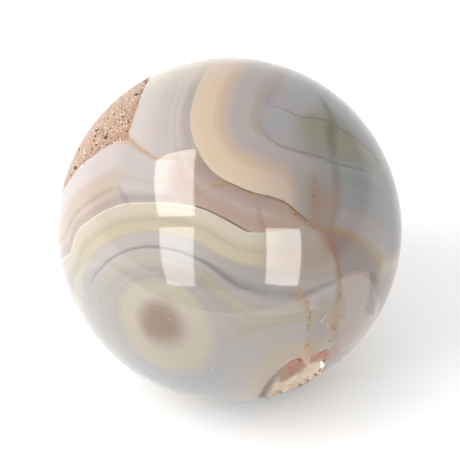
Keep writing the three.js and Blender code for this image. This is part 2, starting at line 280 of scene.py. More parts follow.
# Thin lines keep the side that a place lies on. Hazes spread evenly to both sides.
LINES = {
    "rim crack": RIM_CRACK, "upper seam": UPPER_SEAM, "seam crumbs": SEAM_CRUMBS,
    "lower crumbs": LOWER_CRUMBS, "corner crack": CORNER_CRACK, "left crack": LEFT_CRACK,
    "left crumbs": LEFT_CRUMBS, "olive line": OLIVE_LINE, "violet line": VIOLET_LINE, "dark arc": DARK_ARC,
}
HAZES = {
    "seam haze": SEAM_HAZE, "corner haze": CORNER_HAZE, "fill edge": FILL_EDGE, "branch": BRANCH,
    "east arch": EAST_ARCH, "brown veil": BROWN_VEIL, "short veil": SHORT_VEIL, "west veil": WEST_VEIL,
    "arc haze": ARC_HAZE, "tongue haze": TONGUE_HAZE, "between seams": BETWEEN_SEAMS,
    "inclusion shade": INCLUSION_SHADE,
}

# Small marks: arcs right and up, half length, half width, turn in degrees
DARK_MARKS = [
    (21, -10.6, 0.9, 0.5, 80), (21.4, -13, 0.9, 0.5, 95), (23.4, -18, 1.2, 0.3, 160),
    (26, -18.9, 0.8, 0.25, 150), (29.9, -10.4, 1.2, 0.5, 100), (30.2, -13.4, 0.9, 0.5, 80),
    (30, -17.2, 0.9, 0.35, 90), (31.6, -16, 1.2, 0.5, 150), (15.1, 6, 0.7, 0.35, 50),
    (-7.5, 18.3, 0.4, 0.25, 90), (21, -23.4, 1.2, 0.5, 150), (17.6, -26.4, 0.9, 0.35, 20),
]
# Partly pale flecks in the stone, partly painted glints
PALE_FLECKS_AND_GLINTS = [
    (18, -17.8, 0.6, 0.3, 70), (18.6, -17, 0.5, 0.3, 50), (18.9, -18.6, 0.8, 0.1, 115),
    (19.5, -19.2, 0.7, 0.1, 110), (-3.5, -28, 0.5, 0.25, 90), (-4.5, -26, 0.5, 0.2, 90),
    (21.6, -23, 0.9, 0.12, 70), (22.6, -23.8, 0.9, 0.12, 100), (-2.7, -12.4, 0.25, 0.25, 0),
    (-11.4, -16.8, 0.25, 0.2, 0), (-19.4, 27.4, 0.7, 0.4, 90), (-5.9, 15, 0.4, 0.25, 120),
]
PINK_STAINS = [
    (22.8, -16, 2.4, 1.1, 100), (23.6, -22.6, 1.2, 1.6, 90), (17.4, -0.6, 2.2, 1.4, 160),
    (16.6, 4.6, 5.6, 4.2, 90), (18.5, -2.5, 3.2, 2.6, 60), (13.1, -12.9, 3, 2, 150),
    (-1.8, 7.6, 1.5, 0.6, 15), (31.8, -6.6, 1.8, 1.3, 100), (36, -25, 8, 3, 60), (22.8, -27, 3.4, 3, 60),
]

# The outlines of the three bright windows that the polish mirrors, clockwise from the upper left
LEFT_UPPER_WINDOW = [(-13.7, 12.7), (-11.8, 13.8), (-5.9, 14.7), (-5.9, 2.2), (-12.8, 2.1)]
LEFT_LOWER_WINDOW = [(-12.6, 0.5), (-6, 0.5), (-5.9, -10.2), (-11.3, -10.1)]
RIGHT_WINDOW = [(6.1, 0.3), (12.6, 0.2), (12.4, -10.4), (6.1, -9.7)]
WARM_WHITE = (1.0, 0.95, 0.92)
COOL_WHITE = (0.98, 0.98, 1.0)

# Colours of the stone, and some painted shade and highlight colours, as red, green and blue from 0 to 255
PALETTE = {
    "rim cream": (209, 199, 180), "cream": (185, 176, 160), "butter": (180, 168, 146),
    "dull butter": (172, 162, 144), "yellow": (160, 150, 133), "lilac grey": (158, 152, 147),
    "lilac": (156, 148, 140), "grey lilac": (150, 144, 141), "umber lilac": (150, 142, 135),
    "disc cream": (163, 154, 137), "disc lilac": (155, 144, 132), "eye edge": (145, 130, 116),
    "eye": (131, 113, 96), "eye middle": (126, 107, 91), "blue grey": (147, 147, 147),
    "shadow grey": (152, 151, 147), "pale lilac": (177, 171, 165), "halo yellow": (154, 143, 127),
    "halo grey": (153, 147, 141), "halo lilac": (156, 147, 141), "halo cream": (161, 149, 132),
    "lobe rim": (192, 179, 157), "lobe honey": (196, 174, 150), "lobe peach": (184, 161, 139),
    "lobe lilac": (165, 153, 150), "lobe yellow": (157, 146, 136), "lobe brown": (143, 133, 132),
    "lobe grey": (151, 151, 153), "lobe green": (139, 136, 126), "olive": (137, 132, 114),
    "warm olive": (141, 137, 120), "steel": (144, 145, 143), "dusk": (158, 150, 147),
    "top grey": (148, 150, 147), "dawn": (190, 183, 179), "top cream": (191, 181, 171),
    "top lilac": (185, 173, 167), "top yellow": (178, 168, 157), "top dark": (165, 152, 148),
    "high cream": (204, 188, 170), "pink lilac": (191, 180, 177), "pink": (185, 168, 160),
    "peach": (184, 168, 154), "corner peach": (184, 157, 138), "west brown": (168, 153, 144),
    "west grey": (180, 171, 168), "fill umber": (141, 121, 112), "fill brown": (153, 135, 126),
    "fill lilac": (165, 151, 142), "fill pink": (162, 138, 124), "fill tan": (167, 146, 129),
    "east lilac": (141, 127, 120), "east brown": (143, 127, 115), "inclusion": (156, 141, 131),
    "east yellow": (164, 151, 126), "ground grey": (162, 156, 146), "ground cream": (176, 164, 146),
    "tongue pink": (180, 143, 121), "rust": (122, 84, 62), "ochre": (162, 130, 96),
    "dark rust": (96, 66, 46), "seam brown": (136, 104, 88), "seam grey": (136, 124, 117),
    "end lilac": (158, 144, 135), "painted limb shade": (120, 121, 121), "seam pink": (152, 121, 101),
    "arch ochre": (156, 134, 104), "violet": (118, 110, 114), "dark olive": (108, 102, 84),
    "soft brown": (96, 80, 66), "smoke": (116, 106, 96), "pale fleck and glint": (214, 204, 190),
    "rock": (172, 139, 110), "rock pale": (194, 166, 140), "rock orange": (164, 112, 78),
    "pit": (70, 44, 30), "wall red": (182, 127, 108), "wall brown": (176, 139, 117),
    "wall olive and lip shade": (172, 148, 126), "pocket shade grey": (150, 137, 127), "quartz": (216, 194, 173),
    "quartz pale": (228, 210, 191), "quartz honey": (206, 175, 145), "quartz shade": (206, 178, 154),
    "glint white": (248, 246, 242),
}


def stone(name):
    """The linear colour of a named stone colour"""
    srgb = np.array(PALETTE[name]) / 255
    linear = np.where(srgb <= 0.04045, srgb / 12.92, ((srgb + 0.055) / 1.055) ** 2.4)
    return (*[float(value) for value in linear], 1.0)


def ball_normal(right, up):
    """The outward direction at arcs right and up from the middle of the face"""
    arc = math.hypot(right, up)
    angle = arc / BALL_RADIUS
    share = math.sin(angle) / arc if arc else 0.0
    return RIGHT * (right * share) + UP * (up * share) + OUT * math.cos(angle)


def placement(x_axis, y_axis, z_axis, origin):
    """A matrix that moves local points to a place with the given axes"""
    place = Matrix((x_axis, y_axis, z_axis)).transposed().to_4x4()
    place.translation = origin
    return place


def placed_at(right, up, turn):
    """A placement whose z points out of the ball and whose x runs along the surface"""
    out = ball_normal(right, up)
    ahead = ball_normal(right + 0.5, up) - out
    along = (ahead - out * ahead.dot(out)).normalized()
    along = Matrix.Rotation(math.radians(turn), 3, out) @ along
    return placement(along, out.cross(along), out, (CENTRE + out * BALL_RADIUS) * MM)


def link(obj):
    bpy.context.scene.collection.objects.link(obj)
    return obj


def mesh_object(name, points, faces):
    mesh = bpy.data.meshes.new(name)
    mesh.from_pydata([tuple(point) for point in points], [], [tuple(face) for face in faces])
    mesh.validate()
    return link(bpy.data.objects.new(name, mesh))


def icosphere(cuts):
    """Points on a unit ball and triangles: each face of an icosahedron is cut into a grid"""
    phi = (1 + math.sqrt(5)) / 2
    corners = np.array([
        (-1, phi, 0), (1, phi, 0), (-1, -phi, 0), (1, -phi, 0), (0, -1, phi), (0, 1, phi), (0, -1, -phi),
        (0, 1, -phi), (phi, 0, -1), (phi, 0, 1), (-phi, 0, -1), (-phi, 0, 1),
    ])
    sides = [
        (0, 11, 5), (0, 5, 1), (0, 1, 7), (0, 7, 10), (0, 10, 11), (1, 5, 9), (5, 11, 4), (11, 10, 2),
        (10, 7, 6), (7, 1, 8), (3, 9, 4), (3, 4, 2), (3, 2, 6), (3, 6, 8), (3, 8, 9), (4, 9, 5),
        (2, 4, 11), (6, 2, 10), (8, 6, 7), (9, 8, 1),
    ]
    points, faces = [], []
    for side in sides:
        a, b, c = corners[list(side)]
        start = len(points)
        row_start = []
        for row in range(cuts + 1):
            row_start.append(start + row * (row + 1) // 2)
            for step in range(row + 1):
                points.append(a + (b - a) * (row - step) / cuts + (c - a) * step / cuts)
        for row in range(cuts):
            for step in range(row + 1):
                top, low = row_start[row] + step, row_start[row + 1] + step
                faces.append((top, low, low + 1))
                if step < row:
                    faces.append((top, low + 1, top + 1))
    points = np.array(points)
    points /= np.linalg.norm(points, axis=1)[:, None]
    _, first, where = np.unique(np.round(points, 6), axis=0, return_index=True, return_inverse=True)
    return points[first], where.reshape(-1)[np.array(faces)]


def bowl(name, place, half_sizes, cuts, roughness=0.0, seed=0):
    """An ellipsoid to cut with. Its surface is pushed in and out by the roughness, in millimetres."""
    points, faces = icosphere(cuts)
    random = np.random.default_rng(seed)
    waves = random.normal(size=(9, 3)) * 2.2
    shifts = random.uniform(0, 2 * math.pi, 9)
    bumps = np.sin(points @ waves.T + shifts).mean(axis=1)
    points = points * (np.array(half_sizes) + roughness * bumps[:, None])
    obj = mesh_object(name, points * MM, faces)
    obj.data.transform(place)
    return obj


def cut_away(obj, tools):
    """Takes the tools' shapes out of the object and removes the tools"""
    for tool in tools:
        step = obj.modifiers.new("cut", "BOOLEAN")
        step.operation = "DIFFERENCE"
        step.solver = "MANIFOLD"
        step.object = tool
    graph = bpy.context.evaluated_depsgraph_get()
    result = bpy.data.meshes.new_from_object(obj.evaluated_get(graph))
    obj.modifiers.clear()
    obj.data = result
    for tool in tools:
        bpy.data.objects.remove(tool)


def is_inside(places, outline):
    """For each place, whether it lies inside the closed outline"""
    x, y = places[:, 0], places[:, 1]
    inside = np.zeros(len(places), bool)
    previous = outline[-1]
    for corner in outline:
        (x0, y0), (x1, y1) = previous, corner
        previous = corner
        if y0 == y1:
            continue
        crosses = (y1 > y) != (y0 > y)
        inside ^= crosses & (x < (x0 - x1) * (y - y1) / (y0 - y1) + x1)
    return inside


def smooth(points, closed, spacing=0.4):
    """Points along a rounded curve through the given ones. Values after the first two run along."""
    given = np.array(points, float)
    count = len(given)
    spans = count if closed else count - 1
    result = []
    for i in range(spans):
        around = [(i + k) % count if closed else min(max(i + k, 0), count - 1) for k in (-1, 0, 1, 2)]
        p0, p1, p2, p3 = given[around]
        steps = max(1, int(np.linalg.norm((p2 - p1)[:2]) / spacing))
        for step in range(steps):
            t = step / steps
            bend = 2 * p1 + (p2 - p0) * t + (2 * p0 - 5 * p1 + 4 * p2 - p3) * t**2
            result.append(0.5 * (bend + (3 * p1 - p0 - 3 * p2 + p3) * t**3))
    if not closed:
        result.append(given[-1])
    return np.array(result)


class BallMap:
    """Where a mesh's vertices lie on the ball, and how far they are from curves drawn on it"""

    def __init__(self, mesh, from_front=False):
        points = np.empty(len(mesh.vertices) * 3)
        mesh.vertices.foreach_get("co", points)
        from_centre = points.reshape(-1, 3) / MM - np.array(CENTRE)
        radius = np.linalg.norm(from_centre, axis=1)
        self.mesh = mesh
        self.depth = BALL_RADIUS - radius
        self.normal = from_centre / radius[:, None]
        if from_front:
            # The place on the ball that lies straight in front of the vertex, as seen from the front
            flat = (from_centre @ FACE_AXES.T)[:, :2] / BALL_RADIUS
            flat /= np.maximum(np.hypot(flat[:, 0], flat[:, 1]), 0.999)[:, None] / 0.999
            ahead = np.sqrt(1 - (flat**2).sum(axis=1))
            self.normal = np.column_stack([flat, ahead]) @ FACE_AXES
        self.places = {"face": self.arcs(FACE_AXES), "back": self.arcs(BACK_AXES)}

    def arcs(self, axes):
        """Arcs right and up of each vertex, from the middle of the side that the axes belong to"""
        flat = self.normal @ axes.T
        angle = np.arccos(np.clip(flat[:, 2], -1, 1))
        sine = np.maximum(np.hypot(flat[:, 0], flat[:, 1]), 1e-9)
        return flat[:, :2] * (BALL_RADIUS * angle / sine)[:, None]

    def on_ball(self, arcs, side):
        """Points on the ball, measured from its centre, from arcs right and up"""
        axes = FACE_AXES if side == "face" else BACK_AXES
        arc = np.maximum(np.hypot(arcs[:, 0], arcs[:, 1]), 1e-9)
        angle = arc / BALL_RADIUS
        share = np.sin(angle) / arc
        flat = np.column_stack([arcs[:, 0] * share, arcs[:, 1] * share, np.cos(angle)])
        return BALL_RADIUS * flat @ axes

    def nearest(self, curve, closed, side):
        """Distance to the curve in millimetres, the side of it as 1 or -1, and its values there"""
        points = self.on_ball(curve[:, :2], side)
        tree = KDTree(len(points))
        for i, point in enumerate(points):
            tree.insert(point, i)
        tree.balance()
        targets = self.normal * BALL_RADIUS
        index = np.array([tree.find(target)[1] for target in targets])
        best = np.full(len(targets), np.inf)
        hand = np.ones(len(targets))
        values = np.zeros((len(targets), curve.shape[1]))
        for step in (-1, 0):
            if closed:
                start, end = (index + step) % len(points), (index + step + 1) % len(points)
            else:
                start = np.clip(index + step, 0, len(points) - 2)
                end = start + 1
            a, b = points[start], points[end]
            along = b - a
            length = np.maximum((along**2).sum(axis=1), 1e-12)
            share = np.clip(((targets - a) * along).sum(axis=1) / length, 0, 1)
            gap = targets - (a + along * share[:, None])
            distance = np.linalg.norm(gap, axis=1)
            turn = (np.cross(along, self.normal) * gap).sum(axis=1)
            closer = distance < best
            best = np.where(closer, distance, best)
            hand = np.where(closer, np.where(turn < 0, -1, 1), hand)
            here = curve[start] + (curve[end] - curve[start]) * share[:, None]
            values = np.where(closer[:, None], here, values)
        return best, hand, values

    def depth_in(self, outline, side="face"):
        """Distance to a closed outline, positive inside it"""
        curve = smooth(outline, closed=True)
        distance, _, _ = self.nearest(curve, True, side)
        return np.where(is_inside(self.places[side], curve), distance, -distance)

    def distance_to(self, points):
        """Distance to an open curve, positive on its right as it runs"""
        distance, hand, _ = self.nearest(smooth(points, closed=False), False, "face")
        return distance * hand

    def line(self, points):
        """Distance to an open line with its side as the sign, and the line's half width there"""
        distance, hand, values = self.nearest(smooth(points, closed=False), False, "face")
        return distance * hand, np.maximum(values[:, 2], 0)

    def marks(self, marks):
        """How deep each vertex is in the nearest of some oval marks: 1 in its middle, 0 at its edge"""
        result = np.full(len(self.normal), -1.0)
        place_on_ball = (self.normal * BALL_RADIUS + np.array(CENTRE)) * MM
        for right, up, half_length, half_width, turn in marks:
            place = placed_at(right, up, turn).inverted()
            local = place_on_ball @ np.array(place.to_3x3()).T + np.array(place.translation)
            away = np.hypot(local[:, 0] / (half_length * MM), local[:, 1] / (half_width * MM))
            result = np.maximum(result, np.where(np.abs(local[:, 2]) < 5 * MM, 1 - away, -1))
        return result

    def store(self, name, first, second=None, third=None):
        """Keeps up to three fields on the mesh under one name"""
        blank = np.zeros(len(self.normal))
        parts = [blank if part is None else part for part in (first, second, third)]
        layer = self.mesh.attributes.new(name, "FLOAT_VECTOR", "POINT")
        layer.data.foreach_set("vector", np.column_stack(parts).astype(np.float32).reshape(-1))


def store_pocket_zones(mesh):
    """Keeps the colour borders of the pocket and its spots of painted shade on a mesh, as they are seen
    from the front
    """
    seen = BallMap(mesh, from_front=True)
    seen.store("zones", seen.distance_to(RED_WALL_END), seen.distance_to(SHADED_TIP_END))
    seen.store("pocket shade spots", seen.marks(POCKET_SHADE_SPOTS))


def nested_level(depths):
    """How far in each vertex is among nested outlines: k on outline k, and between them in between"""
    level = np.zeros(len(depths[0]))
    for k, outer in enumerate(depths):
        if k + 1 < len(depths):
            inner = np.minimum(depths[k + 1], 0)
            share = outer / np.maximum(outer - inner, 1e-6)
        else:
            share = outer / 4.0
        level = np.where(outer > 0, k + np.clip(share, 0, 1), level)
    return level


def share_between(first, second):
    """0 on the first curve and 1 on the second, from the distances to both"""
    first, second = np.abs(first), np.abs(second)
    return first / np.maximum(first + second, 1e-6)


def store_pattern(ball):
    """Keeps the fields that the stone's bands are drawn from on the ball's mesh"""
    lower = ball.depth_in(LOWER_RIM)
    disc, halo = ball.depth_in(DISC), ball.depth_in(POCKET_HALO)
    pocket = ball.depth_in(POCKET_RIM)
    rings = [lower]
    rings += [ball.depth_in(ring) for ring in (LOWER_CREAM_END, LOWER_DARK_ARC, LOWER_YELLOW_RING)]
    rings += [np.maximum(disc, halo), np.maximum(ball.depth_in(EYE), pocket)]
    ball.store("lower", lower, nested_level(rings), disc - halo)

    # Layers of the upper nodule: up to 1 above the olive top, 1 to 2 in the olive, 2 to 3 down to the rim
    upper = ball.depth_in(UPPER_RIM)
    from_rim = np.abs(ball.distance_to(UPPER_BANDS_FOLLOW))
    under_top = ball.distance_to(UPPER_OLIVE_TOP)
    under_end = ball.distance_to(UPPER_OLIVE_END)
    layer = np.where(under_top < 0, 1 + under_top / 16, 1 + share_between(under_top, under_end))
    layer = np.where((under_top > 0) & (under_end > 0), 2 + share_between(under_end, upper), layer)
    ball.store("upper", upper, from_rim, layer)

    patch = ball.depth_in(PATCH_EDGE)
    top = ball.depth_in(TOP_NODULE)
    west = ball.depth_in(WEST_NODULE)
    east = ball.depth_in(EAST_FILL)
    ball.store("patch", patch, ball.depth)
    ball.store("top", top, share_between(patch, upper))
    ball.store("west", west, share_between(np.maximum(patch, top), lower))
    ball.store("middle", ball.depth_in(MIDDLE_FILL), np.abs(upper))
    ball.store("east", east, ball.depth_in(PALE_INCLUSION))
    ball.store("arcs", *ball.places["face"].T)
    ball.store("pocket", pocket)

    back = np.max([ball.depth_in(outline, "back") for outline in BACK_NODULES], axis=0)
    eye = np.max([ball.depth_in(outline, "back") for outline in BACK_EYES], axis=0)
    ball.store("back", back, share_between(back, np.minimum(eye, 0)))
    ball.store("ground", np.abs(np.max([lower, upper, east, top, west, back], axis=0)))
    store_pocket_zones(ball.mesh)

    for name, points in LINES.items():
        ball.store(name, *ball.line(points))
    for name, points in HAZES.items():
        distance, half_width = ball.line(points)
        ball.store(name, np.abs(distance), half_width)
    ball.store("marks", ball.marks(DARK_MARKS), ball.marks(PALE_FLECKS_AND_GLINTS), ball.marks(PINK_STAINS))


class Nodes:
    """Short calls that add shader nodes to a material, light or world"""

    def __init__(self, owner, shader="Principled BSDF"):
        owner.use_nodes = True
        self.owner = owner
        self.tree = owner.node_tree
        self.shader = self.tree.nodes[shader]

    def add(self, kind, inputs=None, **settings):
        node = self.tree.nodes.new(kind)
        for key, value in settings.items():
            setattr(node, key, value)
        for key, value in (inputs or {}).items():
            self.put(node.inputs[key], value)
        return node

    def put(self, socket, value):
        if isinstance(value, bpy.types.NodeSocket):
            self.tree.links.new(value, socket)
        else:
            socket.default_value = value

    def set(self, **inputs):
        """Gives values or sockets to the shader itself"""
        for key, value in inputs.items():
            self.put(self.shader.inputs[key.replace("_", " ")], value)

    def fields(self, name):
        """The three fields that the mesh keeps under one name"""
        source = self.add("ShaderNodeAttribute", attribute_name=name)
        return self.add("ShaderNodeSeparateXYZ", {0: source.outputs["Vector"]}).outputs

    def math(self, operation, first, second=0.0, clamp=False):
        inputs = {0: first, 1: second}
        return self.add("ShaderNodeMath", inputs, operation=operation, use_clamp=clamp).outputs[0]

    def times(self, *factors):
        """The product of sockets and numbers"""
        product = factors[0]
        for factor in factors[1:]:
            product = self.math("MULTIPLY", product, factor)
        return product

    def measure(self, operation, first, second=(0, 0, 0)):
        """A number from vectors, such as a length or a dot product"""
        inputs = {0: first, 1: second}
        return self.add("ShaderNodeVectorMath", inputs, operation=operation).outputs["Value"]

    def step(self, value, low, high):
        """0 where the value is under low, 1 where it is over high, and smooth between"""
        inputs = {"Value": value, "From Min": low, "From Max": high}
        return self.add("ShaderNodeMapRange", inputs, interpolation_type="SMOOTHSTEP").outputs[0]

    def ramp(self, value, low, high, stops):
        """Named colours along a value that runs from low to high"""
        share = self.math("DIVIDE", self.math("SUBTRACT", value, low), high - low)
        node = self.add("ShaderNodeValToRGB", {"Fac": share})
        elements = node.color_ramp.elements
        while len(elements) < len(stops):
            elements.new(1.0)
        for element, (position, name) in zip(elements, stops):
            element.position = (position - low) / (high - low)
            element.color = stone(name)
        return node.outputs["Color"]

    def shades(self, value, low, high, dark, light):
        """Two greys for an overlay: dark where the value is under low, light where it is over high"""
        node = self.add("ShaderNodeValToRGB", {"Fac": value})
        for element, position, grey in zip(node.color_ramp.elements, (low, high), (dark, light)):
            element.position = position
            element.color = (*grey, 1)
        return node.outputs["Color"]

    def mix(self, first, second, share, blend="MIX"):
        node = self.add("ShaderNodeMix", data_type="RGBA", blend_type=blend)
        for socket, value in zip(("A_Color", "B_Color", "Factor_Float"), (first, second, share)):
            self.put(next(s for s in node.inputs if s.identifier == socket), value)
        return next(s for s in node.outputs if s.identifier == "Result_Color")

    def tint(self, color, name, *shares):
        """The colour mixed with a named stone colour, by the product of the shares"""
        return self.mix(color, stone(name), self.times(*shares))

    def noise(self, scale, detail=3.0, rough=0.5, line=None):
        """Noise over the object in steps of 1/scale metres, or along a value"""
        inputs = {"Scale": scale, "Detail": detail, "Roughness": rough}
        if line is not None:
            inputs["W"] = line
            return self.add("ShaderNodeTexNoise", inputs, noise_dimensions="1D").outputs[0]
        inputs["Vector"] = self.add("ShaderNodeTexCoord").outputs["Object"]
        return self.add("ShaderNodeTexNoise", inputs).outputs[0]

    def bump(self, height, distance, strength):
        inputs = {"Height": height, "Distance": distance, "Strength": strength}
        return self.add("ShaderNodeBump", inputs).outputs[0]

    def fine_bands(self, color, value, scale, strength):
        """Thin light and dark layers along a value, warm where light and cool where dark"""
        wobble = self.times(self.noise(90.0, 2.0), 1.4 / scale)
        layers = self.noise(scale, 4.0, 0.65, line=self.math("ADD", value, wobble))
        shades = self.shades(layers, 0.3, 0.7, (0.40, 0.41, 0.44), (0.60, 0.58, 0.54))
        return self.mix(color, shades, strength, "OVERLAY")


def wiggle(nodes, value, amount, scale):
    """The value moved a little up or down by noise"""
    shift = nodes.math("SUBTRACT", nodes.noise(scale, 3.0), 0.5)
    return nodes.math("ADD", value, nodes.times(shift, amount))


def over(nodes, color, region_color, depth, softness):
    """The region's colour laid over the rest, inside its outline"""
    return nodes.mix(color, region_color, nodes.step(depth, -softness, softness))


def ground_colors(nodes):
    """The agate between the nodules, greyer beyond the pale inclusion at the right"""
    distance = nodes.fields("ground")[0]
    right, up, _ = nodes.fields("arcs")
    stops = [
        (0, "east yellow"), (2, "ground cream"), (4.5, "ground grey"), (7, "lilac grey"), (10, "butter"),
        (14, "grey lilac"),
    ]
    color = nodes.fine_bands(nodes.ramp(distance, 0, 14, stops), distance, 0.9, 0.5)
    at_right = nodes.times(nodes.step(right, 31.5, 33), nodes.step(up, -8, -12), nodes.step(up, -40, -30))
    return nodes.tint(color, "grey lilac", at_right, 0.85)


def top_colors(nodes):
    share = nodes.fields("top")[1]
    up = nodes.fields("arcs")[1]
    stops = [
        (0, "dawn"), (0.14, "dawn"), (0.26, "top cream"), (0.42, "top lilac"), (0.53, "west grey"),
        (0.62, "top yellow"), (0.68, "west grey"), (0.76, "top yellow"), (0.81, "west grey"),
        (0.9, "top dark"), (1, "top dark"),
    ]
    color = nodes.fine_bands(nodes.ramp(share, 0, 1, stops), share, 10.0, 0.2)
    return nodes.tint(color, "high cream", nodes.step(up, 26, 38), 0.6)


def west_colors(nodes):
    """The pink nodule at the left, whose bands run from the rock patch down to the lower nodule"""
    share = nodes.fields("west")[1]
    right = nodes.fields("arcs")[0]
    left_stops = [
        (0, "pink lilac"), (0.36, "pink lilac"), (0.46, "pink"), (0.58, "peach"), (0.66, "butter"),
        (0.74, "west brown"), (0.82, "peach"), (0.9, "west brown"), (1, "west brown"),
    ]
    right_stops = [
        (0, "peach"), (0.12, "west grey"), (0.42, "west grey"), (0.54, "top yellow"), (0.62, "west grey"),
        (0.74, "west grey"), (0.87, "lilac grey"), (1, "top dark"),
    ]
    at_left, at_right = nodes.ramp(share, 0, 1, left_stops), nodes.ramp(share, 0, 1, right_stops)
    color = nodes.mix(at_left, at_right, nodes.step(right, -24, -19))
    return nodes.fine_bands(color, share, 9.0, 0.2)


def middle_colors(nodes):
    distance = nodes.fields("middle")[1]
    right = nodes.fields("arcs")[0]
    stops = [
        (0, "fill umber"), (1.6, "fill brown"), (3, "fill lilac"), (4.5, "fill pink"), (8, "fill lilac"),
    ]
    color = nodes.fine_bands(nodes.ramp(distance, 0, 8, stops), distance, 0.8, 0.2)
    color = nodes.tint(color, "fill tan", nodes.step(right, 6.0, 12.0), 0.8)
    return nodes.tint(color, "fill pink", nodes.step(nodes.noise(160.0, 3.0), 0.45, 0.7), 0.6)


def lower_colors(nodes):
    """The big lower nodule: rings from its rim inward, which end in the dark eye and round the pocket"""
    from_rim, level, eye_side = nodes.fields("lower")
    right, up, _ = nodes.fields("arcs")
    outer = [
        (0, "cream"), (0.3, "cream"), (0.46, "butter"), (0.56, "dull butter"), (0.66, "butter"),
        (0.9, "butter"), (1.12, "lilac grey"), (1.55, "lilac grey"), (1.9, "grey lilac"),
        (2.2, "lilac grey"), (2.6, "lilac"), (2.9, "yellow"), (3, "yellow"),
    ]
    disc = [
        (3, "yellow"), (3.08, "yellow"), (3.2, "umber lilac"), (3.42, "umber lilac"), (3.55, "lilac"),
        (3.7, "umber lilac"), (3.88, "lilac"), (4.08, "disc cream"), (4.6, "disc cream"),
        (4.8, "disc lilac"), (4.95, "eye edge"), (5.2, "eye"), (5.5, "eye middle"),
    ]
    pocket = [
        (3, "yellow"), (3.1, "halo yellow"), (3.5, "halo yellow"), (3.75, "halo grey"), (3.9, "halo grey"),
        (4.05, "halo lilac"), (4.3, "halo lilac"), (4.48, "halo cream"), (4.9, "halo cream"),
        (5, "fill lilac"),
    ]
    round_pocket, round_eye = nodes.ramp(level, 3, 5, pocket), nodes.ramp(level, 3, 5.5, disc)
    inner = nodes.mix(round_pocket, round_eye, nodes.step(eye_side, -0.6, 0.6))
    color = nodes.mix(nodes.ramp(level, 0, 3, outer), inner, nodes.step(level, 2.99, 3.01))
    low = nodes.times(nodes.step(up, -17, -30), nodes.step(level, 3.05, 3.3), nodes.step(level, 3.99, 3.9))
    color = nodes.tint(color, "blue grey", low, 0.8)
    color = nodes.tint(color, "shadow grey", nodes.step(right, -20, -28), nodes.step(up, -4, -14), 0.7)
    high = nodes.times(nodes.step(right, 0, -10), nodes.step(up, -9, -5), nodes.step(level, 0.95, 1.1))
    color = nodes.tint(color, "pale lilac", high, 0.6)
    color = nodes.fine_bands(color, level, 4.5, 0.2)
    color = nodes.tint(color, "end lilac", nodes.step(right, 3, 11), nodes.step(level, 1.8, 1.0), 0.8)
    # Painted shade on the ball's pocket wall and just outside the rim, at the pocket's deep left end
    pocket_tip = nodes.times(nodes.step(nodes.fields("pocket")[0], -1.5, 0.0), nodes.step(right, 11, 9))
    color = nodes.tint(color, "pocket shade grey", pocket_tip, 0.8)
    return nodes.tint(color, "rim cream", nodes.step(from_rim, 0.45, 0.15), nodes.step(right, 6, 2), 0.8)


def upper_colors(nodes):
    """The big upper nodule: bands that follow its rim at the left, and layers across it at the right"""
    _, from_rim, layer = nodes.fields("upper")
    right, up, _ = nodes.fields("arcs")
    bands = [
        (0, "lobe rim"), (1.5, "lobe honey"), (3.6, "lobe honey"), (5.2, "lobe peach"),
        (7.2, "lobe lilac"), (9.8, "lobe lilac"), (10.8, "lobe yellow"), (12.5, "lobe brown"),
        (14.5, "lobe grey"), (19, "lobe grey"), (21.5, "lobe green"), (25, "olive"),
        (28, "lobe green"), (32, "steel"),
    ]
    layers = [
        (0, "top grey"), (0.7, "top grey"), (0.93, "lobe green"), (1.1, "olive"), (1.5, "warm olive"),
        (1.9, "lobe green"), (2.1, "steel"), (2.5, "steel"), (2.75, "dusk"), (3, "dusk"),
    ]
    at_left = nodes.fine_bands(nodes.ramp(from_rim, 0, 32, bands), from_rim, 0.6, 0.22)
    in_loop = nodes.step(nodes.times(nodes.fields("violet line")[0], -1), -0.8, 2.4)
    in_loop = nodes.times(in_loop, nodes.step(layer, 0.85, 1.15), nodes.step(from_rim, 8.5, 10))
    at_left = nodes.tint(at_left, "lobe grey", in_loop)
    at_left = nodes.tint(at_left, "dusk", nodes.step(right, 1, 12), 0.45)
    at_left = nodes.tint(at_left, "lobe green", nodes.step(right, 10.0, 13.0), nodes.step(up, 14, 8), 0.6)
    at_right = nodes.fine_bands(nodes.ramp(layer, 0, 3, layers), layer, 6.0, 0.25)

    # The layers start further right above the olive part and below it
    start = nodes.math("ADD", 10.5, nodes.times(nodes.step(layer, 1.95, 2.3), 5))
    start = nodes.math("ADD", start, nodes.times(nodes.step(layer, 1.05, 0.8), 6))
    color = nodes.mix(at_left, at_right, nodes.step(nodes.math("SUBTRACT", right, start), 0, 6))
    # Painted shade: darker grey towards the ball's outline at the right
    place = nodes.add("ShaderNodeAttribute", attribute_name="arcs").outputs["Vector"]
    far = nodes.step(nodes.measure("LENGTH", place), 32, 38)
    return nodes.tint(color, "painted limb shade", far, nodes.step(right, 14, 24), 0.7)


def east_colors(nodes):
    """The brown fill at the right, with the pale inclusion in it"""
    from_edge, in_inclusion, _ = nodes.fields("east")
    stops = [(0, "east yellow"), (0.6, "east brown"), (1.8, "east lilac"), (8, "east lilac")]
    color = nodes.fine_bands(nodes.ramp(from_edge, 0, 8, stops), from_edge, 1.0, 0.3)
    return over(nodes, color, stone("inclusion"), wiggle(nodes, in_inclusion, 0.9, 900.0), 0.25)


def back_colors(nodes):
    share = nodes.fields("back")[1]
    stops = [
        (0, "rim cream"), (0.05, "cream"), (0.3, "butter"), (0.42, "lilac grey"), (0.6, "grey lilac"),
        (0.66, "yellow"), (0.72, "umber lilac"), (0.85, "disc cream"), (0.96, "disc lilac"), (1, "eye"),
    ]
    return nodes.fine_bands(nodes.ramp(share, 0, 1, stops), share, 12.0, 0.45)


